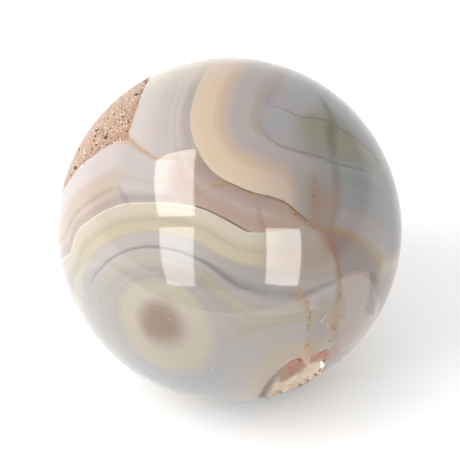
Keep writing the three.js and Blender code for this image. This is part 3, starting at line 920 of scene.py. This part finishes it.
def draw_line(nodes, color, name, line_color, softness, strength):
    """A thin line with a sharp or slightly soft edge, broken here and there"""
    distance, half_width, _ = nodes.fields(name)
    away = nodes.math("ABSOLUTE", distance)
    width = nodes.times(half_width, nodes.math("ADD", nodes.noise(900.0, 3.0, 0.7), 0.5))
    share = nodes.step(nodes.math("SUBTRACT", width, away), -softness, softness * 0.4)
    ends = nodes.step(half_width, 0.0, 0.06)
    gaps = nodes.step(nodes.noise(600.0, 3.0, 0.7), 0.0, 0.5)
    return nodes.tint(color, line_color, share, ends, gaps, strength)


def draw_haze(nodes, color, name, haze_color, strength):
    """A wide line that fades out to both sides and towards its thin ends"""
    distance, half_width, _ = nodes.fields(name)
    away = nodes.math("ABSOLUTE", wiggle(nodes, distance, 0.6, 300.0))
    share = nodes.step(nodes.math("DIVIDE", away, nodes.math("MAXIMUM", half_width, 0.5)), 1.2, 0.0)
    ends = nodes.step(half_width, 0.0, 0.7)
    patchy = nodes.step(nodes.noise(220.0, 3.0, 0.6), 0.1, 0.6)
    return nodes.tint(color, haze_color, share, ends, patchy, strength)


def draw_crumbs(nodes, color, name, strength):
    """Small bits of rust, ochre and pale stone along a broken crack"""
    distance, half_width, _ = nodes.fields(name)
    away = nodes.math("ABSOLUTE", wiggle(nodes, distance, 1.6, 450.0))
    band = nodes.step(nodes.math("DIVIDE", away, nodes.math("MAXIMUM", half_width, 0.3)), 1.3, 0.2)
    band = nodes.times(band, nodes.step(half_width, 0.0, 0.4))
    color = nodes.tint(color, "arch ochre", band, nodes.step(nodes.noise(320.0, 3.0), 0.35, 0.65), 0.75)
    band = nodes.times(band, strength)
    bits = nodes.noise(700.0, 5.0, 0.7)
    for bit_color, low, high in (("ochre", 0.48, 0.56), ("rust", 0.57, 0.63), ("pale fleck and glint", 0.38, 0.32)):
        color = nodes.tint(color, bit_color, band, nodes.step(bits, low, high))
    return nodes.tint(color, "smoke", band, nodes.step(nodes.noise(800.0, 3.0, 0.7), 0.58, 0.66))


def draw_lines(nodes, color):
    """The hazes, then the cracks and crumbs over them. Each takes a colour and a strength."""
    high = nodes.step(nodes.fields("arcs")[1], 6, 17)
    hazes = [
        ("arc haze", "violet", 0.5), ("seam haze", "seam brown", 0.62),
        ("brown veil", "seam brown", nodes.math("SUBTRACT", 0.5, nodes.times(high, 0.5))),
        ("brown veil", "soft brown", nodes.times(high, 0.6)), ("short veil", "seam brown", 0.45),
        ("west veil", "soft brown", 0.22), ("east arch", "arch ochre", 0.55), ("branch", "seam pink", 0.6),
        ("fill edge", "seam pink", 0.6), ("between seams", "seam grey", 0.6),
        ("inclusion shade", "smoke", 0.75), ("inclusion shade", "smoke", 0.4),
        ("tongue haze", "tongue pink", 1.0),
    ]
    for name, haze_color, strength in hazes:
        color = draw_haze(nodes, color, name, haze_color, strength)
    color = draw_line(nodes, color, "dark arc", "violet", 0.3, 0.6)
    color = draw_line(nodes, color, "violet line", "violet", 0.4, 0.6)
    color = draw_line(nodes, color, "olive line", "dark olive", 0.25, 0.6)
    color = draw_line(nodes, color, "left crack", "rust", 0.2, 0.4)
    color = draw_crumbs(nodes, color, "left crumbs", 0.75)
    color = draw_crumbs(nodes, color, "lower crumbs", 0.7)
    color = draw_crumbs(nodes, color, "seam crumbs", 0.55)
    color = draw_line(nodes, color, "upper seam", "rust", 0.18, 0.85)
    color = draw_haze(nodes, color, "corner haze", "corner peach", 0.75)
    color = draw_line(nodes, color, "corner crack", "ochre", 0.35, 0.5)
    return draw_line(nodes, color, "rim crack", "dark rust", 0.12, 0.85)


def draw_marks(nodes, color):
    """Soft pink stains, then dark specks, and pale specks that are partly pale flecks and partly painted
    glints
    """
    dark, pale, pink = (wiggle(nodes, field, 0.9, 1400.0) for field in nodes.fields("marks"))
    color = nodes.tint(color, "seam pink", nodes.step(pink, -0.1, 1.0), 0.6)
    color = nodes.tint(color, "smoke", nodes.step(dark, 0, 0.7), 0.75)
    # Pale flecks and painted glints
    return nodes.tint(color, "pale fleck and glint", nodes.step(pale, 0, 0.6), 0.5)


def rock_colors(nodes):
    """The patch's sugary rock: pale grains, orange mottling, dark specks of painted pit shade, painted
    glints
    """
    grains, mottle = nodes.noise(2600.0, 3.0, 0.7), nodes.noise(1300.0, 3.0, 0.7)
    color = nodes.mix(stone("rock"), stone("rock pale"), nodes.step(grains, 0.42, 0.62))
    color = nodes.tint(color, "rock orange", nodes.step(mottle, 0.5, 0.66))
    color = nodes.tint(color, "rock orange", nodes.step(nodes.fields("patch")[0], 2.5, 0.1), 0.4)
    position = nodes.add("ShaderNodeTexCoord").outputs["Object"]
    # Cells per metre, colour, share of the cells that have a speck, and its reach in the cell. The dark
    # specks are painted shade of tiny pits, and the white specks are painted glints.
    specks = [
        (1500.0, "pit", 0.3, 0.42), (2100.0, "rust", 0.25, 0.45), (1900.0, "glint white", 0.25, 0.42),
    ]
    for scale, speck_color, share, reach in specks:
        cells = nodes.add("ShaderNodeTexVoronoi", {"Vector": position, "Scale": scale})
        pick = nodes.add("ShaderNodeSeparateColor", {0: cells.outputs["Color"]}).outputs[0]
        near = nodes.step(cells.outputs["Distance"], reach, reach * 0.6)
        color = nodes.tint(color, speck_color, nodes.step(pick, share, share - 0.02), near, 0.85)
    return color


def pocket_colors(nodes, base):
    """The red wall and the grey tip of the pocket over a base colour. The grey tip and the dark spots are
    painted shade.
    """
    from_red, from_tip, _ = nodes.fields("zones")
    red, tip = wiggle(nodes, from_red, 0.8, 500.0), wiggle(nodes, from_tip, 0.8, 500.0)
    # The olive band along the red wall's lower edge: partly the wall's own colour, partly painted shade
    # under its rounded lip
    color = nodes.tint(base, "wall olive and lip shade", nodes.step(red, 0.7, -0.3), 0.5)
    color = nodes.tint(color, "wall brown", nodes.step(red, 0.2, -0.9))
    upper = nodes.math("ADD", red, nodes.times(nodes.step(from_tip, -3.0, -0.5), 1.2))
    fading = nodes.math("SUBTRACT", 1.0, nodes.times(nodes.step(from_tip, -6.5, -9), 0.55))
    color = nodes.tint(color, "wall red", nodes.step(upper, -0.7, -1.9), fading)
    # Painted shade: the grey tip at the pocket's deep left end, then the two dark spots
    color = nodes.tint(color, "pocket shade grey", nodes.step(tip, -0.7, 0.8))
    return nodes.tint(color, "pocket shade grey", nodes.step(nodes.fields("pocket shade spots")[0], 0, 0.6), 0.7)


def agate_material():
    """The nodules over the ground, then lines and marks, and last the rock patch and the pocket"""
    nodes = Nodes(bpy.data.materials.new("agate"))
    color = ground_colors(nodes)
    regions = [
        ("back", back_colors, 0.12), ("top", top_colors, 0.12), ("west", west_colors, 0.12),
        ("middle", middle_colors, 2.0), ("lower", lower_colors, 0.12), ("east", east_colors, 0.2),
    ]
    for name, colors, softness in regions:
        color = over(nodes, color, colors(nodes), nodes.fields(name)[0], softness)
    upper_edge = nodes.math("ADD", 0.12, nodes.times(nodes.step(nodes.fields("arcs")[0], 22, 32), 1.3))
    in_upper = nodes.math("DIVIDE", nodes.fields("upper")[0], upper_edge)
    color = over(nodes, color, upper_colors(nodes), in_upper, 1.0)
    clouds = nodes.shades(nodes.noise(70.0, 4.0, 0.6), 0, 1, (0.42, 0.42, 0.43), (0.58, 0.58, 0.57))
    color = nodes.mix(color, clouds, 0.32, "OVERLAY")
    color = draw_marks(nodes, draw_lines(nodes, color))

    patch, depth, _ = nodes.fields("patch")
    in_patch = nodes.step(wiggle(nodes, patch, 0.5, 1500.0), -0.05, 0.1)
    color = nodes.mix(color, rock_colors(nodes), in_patch)
    # Painted shade: the rock turns dark brown inside its pits
    color = nodes.tint(color, "pit", in_patch, nodes.step(depth, 0.02, 0.2))
    in_pocket = nodes.times(nodes.step(nodes.fields("pocket")[0], -0.8, -0.2), nodes.step(depth, 0.08, 0.2))
    color = nodes.mix(color, pocket_colors(nodes, stone("quartz shade")), in_pocket)

    broken = nodes.math("MAXIMUM", in_patch, in_pocket)
    smudges = nodes.times(nodes.noise(300.0, 3.0), 0.05)
    rough = nodes.math("ADD", nodes.times(broken, 0.3), nodes.math("ADD", smudges, 0.03))
    bump = nodes.bump(nodes.noise(2400.0, 4.0, 0.7), 0.00012, nodes.times(broken, 0.6))
    nodes.set(Base_Color=color, Roughness=rough, Normal=bump, IOR=1.54)
    nodes.set(Subsurface_Weight=0.35, Subsurface_Scale=0.0015, Subsurface_Radius=(1.0, 0.8, 0.65))
    return nodes.owner


def hidden_pits():
    """Pits in the hidden part of the rock patch"""
    random = np.random.default_rng(11)
    outline = smooth(PATCH_EDGE, closed=True)
    pits = []
    while len(pits) < HIDDEN_PIT_COUNT:
        place = np.array([[-66 + 50 * random.random(), 8 + 48 * random.random()]])
        half_length = 0.3 + 0.8 * random.random() ** 2
        if np.hypot(*place[0]) > 42 and is_inside(place, outline)[0]:
            half_width = half_length * random.uniform(0.4, 0.8)
            pits.append((*place[0], half_length, half_width, 180 * random.random()))
    return pits


def pocket_grid(spacing):
    """A grid of directions over the pocket, its triangles and each place's distance inside the rim"""
    rights = np.arange(POCKET_GRID_RIGHT[0], POCKET_GRID_RIGHT[1] + spacing, spacing)
    ups = np.arange(POCKET_GRID_UP[0], POCKET_GRID_UP[1] + spacing, spacing)
    places = np.array([(right, up) for up in ups for right in rights])
    faces = []
    across = len(rights)
    for row in range(len(ups) - 1):
        for step in range(across - 1):
            corner = row * across + step
            faces.append((corner, corner + 1, corner + across + 1))
            faces.append((corner, corner + across + 1, corner + across))
    mesh = bpy.data.meshes.new("grid")
    mesh.from_pydata([(CENTRE + ball_normal(*place) * BALL_RADIUS) * MM for place in places], [], [])
    ball = BallMap(mesh)
    inside = ball.depth_in(POCKET_RIM)
    normals = ball.normal
    bpy.data.meshes.remove(mesh)
    return normals, np.array(faces), inside


def pocket_depth(normals, inside):
    """How far the pocket's wall lies below the ball's surface, with broad and fine unevenness"""
    share = np.clip(inside / POCKET_WALL_RUN, 0, 1)
    depth = POCKET_DEPTH * (1 - (1 - share) ** 3)
    random = np.random.default_rng(5)
    # Length and height of the waves, in millimetres
    for wave_length, height in ((6.0, 0.3), (2.4, 0.06), (1.1, 0.02)):
        waves = random.normal(size=(8, 3)) * BALL_RADIUS * 2 * math.pi / wave_length / 1.7
        bumps = np.sin(normals @ waves.T + random.uniform(0, 2 * math.pi, 8)).sum(axis=1) / 2
        depth += bumps * height * np.clip(inside / 1.5, 0, 1)
    return np.where(inside > 0, np.maximum(depth, 0), np.maximum(1.5 * inside, -1.0))


def slab(name, normals, faces, top, bottom):
    """A closed sheet between two radii that are given for each direction from the ball's centre"""
    used = np.unique(faces)
    where = np.full(len(normals), -1)
    where[used] = np.arange(len(used))
    faces = where[faces]
    count = len(used)
    upper = np.array(CENTRE) + normals[used] * np.asarray(top)[used, None]
    lower = np.array(CENTRE) + normals[used] * np.asarray(bottom)[used, None]
    edges = {(int(a), int(b)) for face in faces for a, b in zip(face, np.roll(face, -1))}
    sides = [(b, a, a + count, b + count) for a, b in edges if (b, a) not in edges]
    faces = [tuple(map(int, face)) for face in faces]
    under = [(c + count, b + count, a + count) for a, b, c in faces]
    return mesh_object(name, np.vstack([upper, lower]) * MM, faces + under + sides)


def pocket_cutter():
    """The shape of the pocket, to take out of the ball"""
    normals, faces, inside = pocket_grid(CUTTER_SPACING)
    faces = faces[(inside[faces] > -1.0).any(axis=1)]
    bottom = BALL_RADIUS - pocket_depth(normals, inside)
    return slab("pocket_cutter", normals, faces, np.full(len(inside), BALL_RADIUS + 2.0), bottom)


def crystal(place, radius, length, twist):
    """Corners and faces of a six-sided crystal that ends in a point"""
    turns = [twist + math.radians(60 * k) for k in range(6)]
    ring = [Vector((radius * math.cos(turn), radius * math.sin(turn), 0)) for turn in turns]
    shoulder = length - 0.9 * radius
    corners = [point + Vector((0, 0, -0.3)) for point in ring]
    corners += [point + Vector((0, 0, max(shoulder, 0.0))) for point in ring]
    corners.append(Vector((0.15 * radius, 0, length)))
    faces = [(k, (k + 1) % 6, 6 + (k + 1) % 6, 6 + k) for k in range(6)]
    faces += [(6 + k, 6 + (k + 1) % 6, 12) for k in range(6)]
    return [place @ corner for corner in corners], faces


def glint_plate(points, faces):
    """Corners and faces of a flat-topped crystal that stands where the glint shows in the crust"""
    surface = BVHTree.FromPolygons(points, faces)
    start = (CENTRE + RIGHT * GLINT_PLACE[0] + UP * GLINT_PLACE[1] + OUT * BALL_RADIUS) * MM
    spot, _, _, _ = surface.ray_cast(start, -OUT)
    out = ball_normal(*GLINT_FACES)
    along = (UP - out * out.dot(UP)).normalized()
    place = placement(along, out.cross(along), out, spot / MM)
    corners = [place @ Vector((x, y, height)) for height in GLINT_HEIGHTS for x, y in GLINT_OUTLINE]
    count = len(GLINT_OUTLINE)
    sides = [(k, (k + 1) % count, count + (k + 1) % count, count + k) for k in range(count)]
    return corners, sides + [tuple(range(count, 2 * count))]


def quartz_crust():
    """The crust on the pocket's wall: an uneven bed with small pointed crystals all over it"""
    normals, faces, inside = pocket_grid(CRUST_SPACING)
    faces = faces[(inside[faces] > 0.12).all(axis=1)]
    depth = pocket_depth(normals, inside)
    thickness = CRUST_THICKNESS * np.clip(inside / 2.0, 0, 1)
    bed = slab("bed", normals, faces, BALL_RADIUS - depth + thickness, BALL_RADIUS - depth - 0.2)
    points = [vertex.co.copy() for vertex in bed.data.vertices]
    shapes = [tuple(face.vertices) for face in bed.data.polygons]
    glint_corners, glint_sides = glint_plate(points, shapes)
    from_red = BallMap(bed.data, from_front=True).distance_to(RED_WALL_END)
    random = np.random.default_rng(3)
    spots = [face for face in bed.data.polygons if face.normal.dot(face.center - CENTRE * MM) > 0]
    areas = np.array([face.area for face in spots])
    for pick in random.choice(len(spots), CRYSTAL_COUNT, p=areas / areas.sum()):
        spot = spots[pick]
        on_red_wall = from_red[spot.vertices[0]] < 0
        radius = random.uniform(*(RED_WALL_CRYSTAL_RADII if on_red_wall else CRYSTAL_RADII))
        length = radius * random.uniform(0.3, 0.6)
        if BALL_RADIUS - (spot.center / MM - CENTRE).length < length + 0.15:
            continue
        lean = Vector(random.normal(0, 0.12, 3))
        out = (spot.normal + lean).normalized()
        along = out.orthogonal().normalized()
        place = placement(along, out.cross(along), out, spot.center / MM)
        corners, sides = crystal(place, radius, length, random.uniform(0, math.pi / 3))
        shapes += [tuple(len(points) + i for i in side) for side in sides]
        points += [corner * MM for corner in corners]
    shapes += [tuple(len(points) + i for i in side) for side in glint_sides]
    points += [corner * MM for corner in glint_corners]
    bpy.data.objects.remove(bed)
    crust = mesh_object("quartz_crust", points, shapes)
    bright = np.zeros(len(points), np.float32)
    bright[-len(glint_corners):] = 1
    crust.data.attributes.new("glint", "FLOAT", "POINT").data.foreach_set("value", bright)
    store_pocket_zones(crust.data)
    crust.data.materials.append(crust_material())
    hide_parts("pocket_crystals")
    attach(crust, "root")


def agate_ball():
    """The ball with its flat underneath, the pocket and the pits of the rock patch"""
    points, faces = icosphere(BALL_CUTS)
    points = points * BALL_RADIUS + np.array(CENTRE)
    points[:, 2] = np.maximum(points[:, 2], 0)
    ball = mesh_object("agate_ball", points * MM, faces)
    pits = []
    for i, (right, up, half_length, half_width, turn) in enumerate(SEEN_PITS + hidden_pits()):
        sizes = (half_length, half_width, half_width * PIT_DEPTH_SHARE)
        place = placed_at(right, up, turn)
        pits.append(bowl(f"pit_{i}", place, sizes, 3, roughness=0.4 * half_width, seed=40 + i))
    cut_away(ball, [pocket_cutter()] + pits)
    ball.data.shade_smooth()
    ball.data.set_sharp_from_angle(angle=math.radians(32))
    store_pattern(BallMap(ball.data))
    ball.data.materials.clear()
    ball.data.materials.append(agate_material())
    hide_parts("agate_sphere")
    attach(ball, "root")


def crust_material():
    nodes = Nodes(bpy.data.materials.new("quartz_crust"))
    grains = nodes.noise(900.0, 4.0, 0.65)
    stain = nodes.noise(260.0, 3.0, 0.6)
    color = nodes.mix(stone("quartz"), stone("quartz pale"), nodes.step(grains, 0.35, 0.65))
    color = nodes.tint(color, "quartz honey", nodes.step(stain, 0.45, 0.7), 0.7)
    glint = nodes.add("ShaderNodeAttribute", attribute_name="glint").outputs["Fac"]
    # The glint crystal is painted near white, a painted highlight over the real reflection of its flat face
    color = nodes.tint(pocket_colors(nodes, color), "glint white", glint)
    rough = nodes.math("ADD", nodes.times(grains, 0.2), 0.22)
    rough = nodes.times(rough, nodes.math("SUBTRACT", 1.1, glint))
    nodes.set(Base_Color=color, Roughness=rough, IOR=1.54, Normal=nodes.bump(grains, 0.0001, 0.2))
    nodes.set(Subsurface_Weight=0.3, Subsurface_Scale=0.0003, Subsurface_Radius=(1.0, 0.85, 0.75))
    return nodes.owner


def aimed_light(name, direction, across, size, radiance, distance):
    """A rectangle of even light that faces the ball. Its width runs along the given direction."""
    out = direction.normalized()
    width_axis = (across - out * across.dot(out)).normalized()
    light = bpy.data.lights.new(name, "AREA")
    light.shape = "RECTANGLE"
    light.size, light.size_y = size
    light.energy = radiance * math.pi * size[0] * size[1]
    obj = link(bpy.data.objects.new(name, light))
    obj.matrix_world = placement(width_axis, out.cross(width_axis), out, CENTRE * MM + out * distance)
    return obj


def mirrored(right, up):
    """The direction that the polish mirrors towards the front at a place on the face"""
    normal = ball_normal(right, up)
    return (2 * normal.dot(OUT) * normal - OUT).normalized()


def window_light(name, corners, color, radiance, distance, soft_edge):
    """A soft box whose reflection on the ball has the given corners, clockwise from the upper left"""
    out = sum((mirrored(*corner) for corner in corners), Vector()).normalized()
    spots = []
    for corner in corners:
        start, ray = ball_normal(*corner) * BALL_RADIUS * MM, mirrored(*corner)
        spots.append(start + ray * (distance - start.dot(out)) / ray.dot(out))
    across = (spots[1] - spots[0]).normalized()
    down = across.cross(out)
    rights, downs = [spot.dot(across) for spot in spots], [spot.dot(down) for spot in spots]
    size = (max(rights) - min(rights), max(downs) - min(downs))
    light = aimed_light(name, out, across, size, radiance, distance)
    middle = across * (max(rights) + min(rights)) / 2 + down * (max(downs) + min(downs)) / 2
    light.matrix_world.translation += middle
    light.visible_diffuse = False
    light.visible_camera = False
    light.data.color = color

    # Only the part inside all edges shines
    nodes = Nodes(light.data, "Emission")
    place = nodes.add("ShaderNodeNewGeometry").outputs["Position"]
    within = 1.0
    for spot, following in zip(spots, spots[1:] + spots[:1]):
        inward = out.cross(spot - following).normalized()
        edge = (spot + CENTRE * MM).dot(inward)
        ahead = nodes.measure("DOT_PRODUCT", place, inward)
        within = nodes.times(within, nodes.step(ahead, edge, edge + soft_edge))
    nodes.set(Strength=within)


def table_glow():
    """The bright round table in front of the ball, dimmer near it. Shows only as a reflection."""
    width, depth, radiance, near, reach = 0.3, 0.15, 1.2, 0.01, 0.13
    light = bpy.data.lights.new("table_glow", "AREA")
    light.shape = "ELLIPSE"
    light.size, light.size_y = width, depth
    light.energy = radiance * math.pi * math.pi / 4 * width * depth
    nodes = Nodes(light, "Emission")
    away = nodes.measure("LENGTH", nodes.add("ShaderNodeNewGeometry").outputs["Position"])
    nodes.set(Strength=nodes.math("DIVIDE", nodes.math("SUBTRACT", away, near), reach - near, clamp=True))
    obj = link(bpy.data.objects.new("table_glow", light))
    obj.rotation_euler = (math.pi, 0, 0)
    obj.location = (-0.02, -0.065, 0.0003)
    obj.visible_diffuse = False
    obj.visible_camera = False


def room():
    """Light from all around: brighter from above and from behind the ball, darker from its sides"""
    world = bpy.data.worlds.new("room")
    nodes = Nodes(world, "Background")
    direction = nodes.add("ShaderNodeTexCoord").outputs["Generated"]
    right, ahead, height = nodes.add("ShaderNodeSeparateXYZ", {0: direction}).outputs
    above = nodes.times(nodes.step(height, 0.0, 1.0), 0.42)
    behind = nodes.times(nodes.step(ahead, -0.1, 0.95), 0.2)
    low_behind = nodes.times(nodes.step(ahead, 0.1, 0.9), nodes.step(height, 0.7, 0.0), 0.35)
    behind = nodes.math("ADD", behind, low_behind)
    dim_right = nodes.math("SUBTRACT", 1.0, nodes.times(nodes.step(right, 0.2, 0.8), 0.6))
    behind = nodes.times(behind, dim_right)
    level = nodes.math("ADD", 0.52, nodes.math("ADD", above, behind))
    sides = nodes.math("ADD", nodes.step(right, 0.1, 0.9), nodes.step(right, -0.2, -0.9))
    nodes.set(Strength=nodes.math("SUBTRACT", level, nodes.times(sides, 0.15)), Color=(1, 1, 1, 1))
    bpy.context.scene.world = world


def lights():
    """Three windows that only the polish shows, a soft key and fill that it doesn't, table and room"""
    window_light("left_upper", LEFT_UPPER_WINDOW, WARM_WHITE, radiance=7.4, distance=1.2, soft_edge=0.02)
    # The other two stand nearer, so that their lower edges stay above the floor
    window_light("left_lower", LEFT_LOWER_WINDOW, COOL_WHITE, radiance=6.0, distance=0.4, soft_edge=0.007)
    window_light("right", RIGHT_WINDOW, WARM_WHITE, radiance=7.6, distance=0.22, soft_edge=0.004)
    key_from, fill_from = Vector((-0.8, -0.4, 0.62)), Vector((0.35, -0.9, 0.1))
    key = aimed_light("key", key_from, RIGHT, size=(1.1, 1.1), radiance=3.35, distance=1.2)
    fill = aimed_light("fill", fill_from, RIGHT, size=(0.8, 0.6), radiance=1.0, distance=1.2)
    key.visible_glossy = fill.visible_glossy = False
    table_glow()
    room()


def floor():
    """White paper, painted grey far out at the left and right as painted shade, so that the polish mirrors
    it darker there
    """
    half = 3.0
    corners = [(-half, -half, 0), (half, -half, 0), (half, half, 0), (-half, half, 0)]
    plane = mesh_object("floor", corners, [(0, 1, 2, 3)])
    nodes = Nodes(bpy.data.materials.new("paper"))
    place = nodes.add("ShaderNodeTexCoord").outputs["Object"]
    away = nodes.measure("LENGTH", place)
    white = nodes.mix((0.94, 0.94, 0.94, 1), (0.97, 0.97, 0.97, 1), nodes.noise(8.0, 2.0))
    right = nodes.math("ABSOLUTE", nodes.add("ShaderNodeSeparateXYZ", {0: place}).outputs[0])
    # Painted shade: the paper turns grey far out to the sides
    sideways = nodes.step(nodes.math("DIVIDE", right, away), 0.65, 0.95)
    color = nodes.mix(white, (0.4, 0.4, 0.4, 1), nodes.times(sideways, nodes.step(away, 0.2, 0.85)))
    nodes.set(Base_Color=color, Roughness=0.9, Emission_Color=(1, 1, 1, 1), Emission_Strength=0.14)
    plane.data.materials.append(nodes.owner)


def camera():
    """A far camera that looks straight at the middle of the patterned face"""
    distance = 2000.0
    frame_width = 80.14  # millimetres across the view, at the ball
    data = bpy.data.cameras.new("camera")
    data.sensor_width = 36
    data.lens = data.sensor_width * distance / frame_width
    data.clip_end = 20
    obj = link(bpy.data.objects.new("camera", data))
    obj.matrix_world = placement(RIGHT, UP, OUT, (CENTRE + OUT * distance + RIGHT * 0.05 - UP * 0.12) * MM)
    bpy.context.scene.camera = obj


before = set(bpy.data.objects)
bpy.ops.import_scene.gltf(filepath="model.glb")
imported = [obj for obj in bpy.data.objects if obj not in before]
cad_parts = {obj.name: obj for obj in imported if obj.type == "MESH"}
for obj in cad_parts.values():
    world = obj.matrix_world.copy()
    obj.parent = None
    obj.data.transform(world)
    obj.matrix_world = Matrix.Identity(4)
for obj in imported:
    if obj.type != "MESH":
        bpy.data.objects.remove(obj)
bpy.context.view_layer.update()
agate_ball()
quartz_crust()
floor()
lights()
camera()
bpy.context.scene.view_settings.view_transform = "Standard"
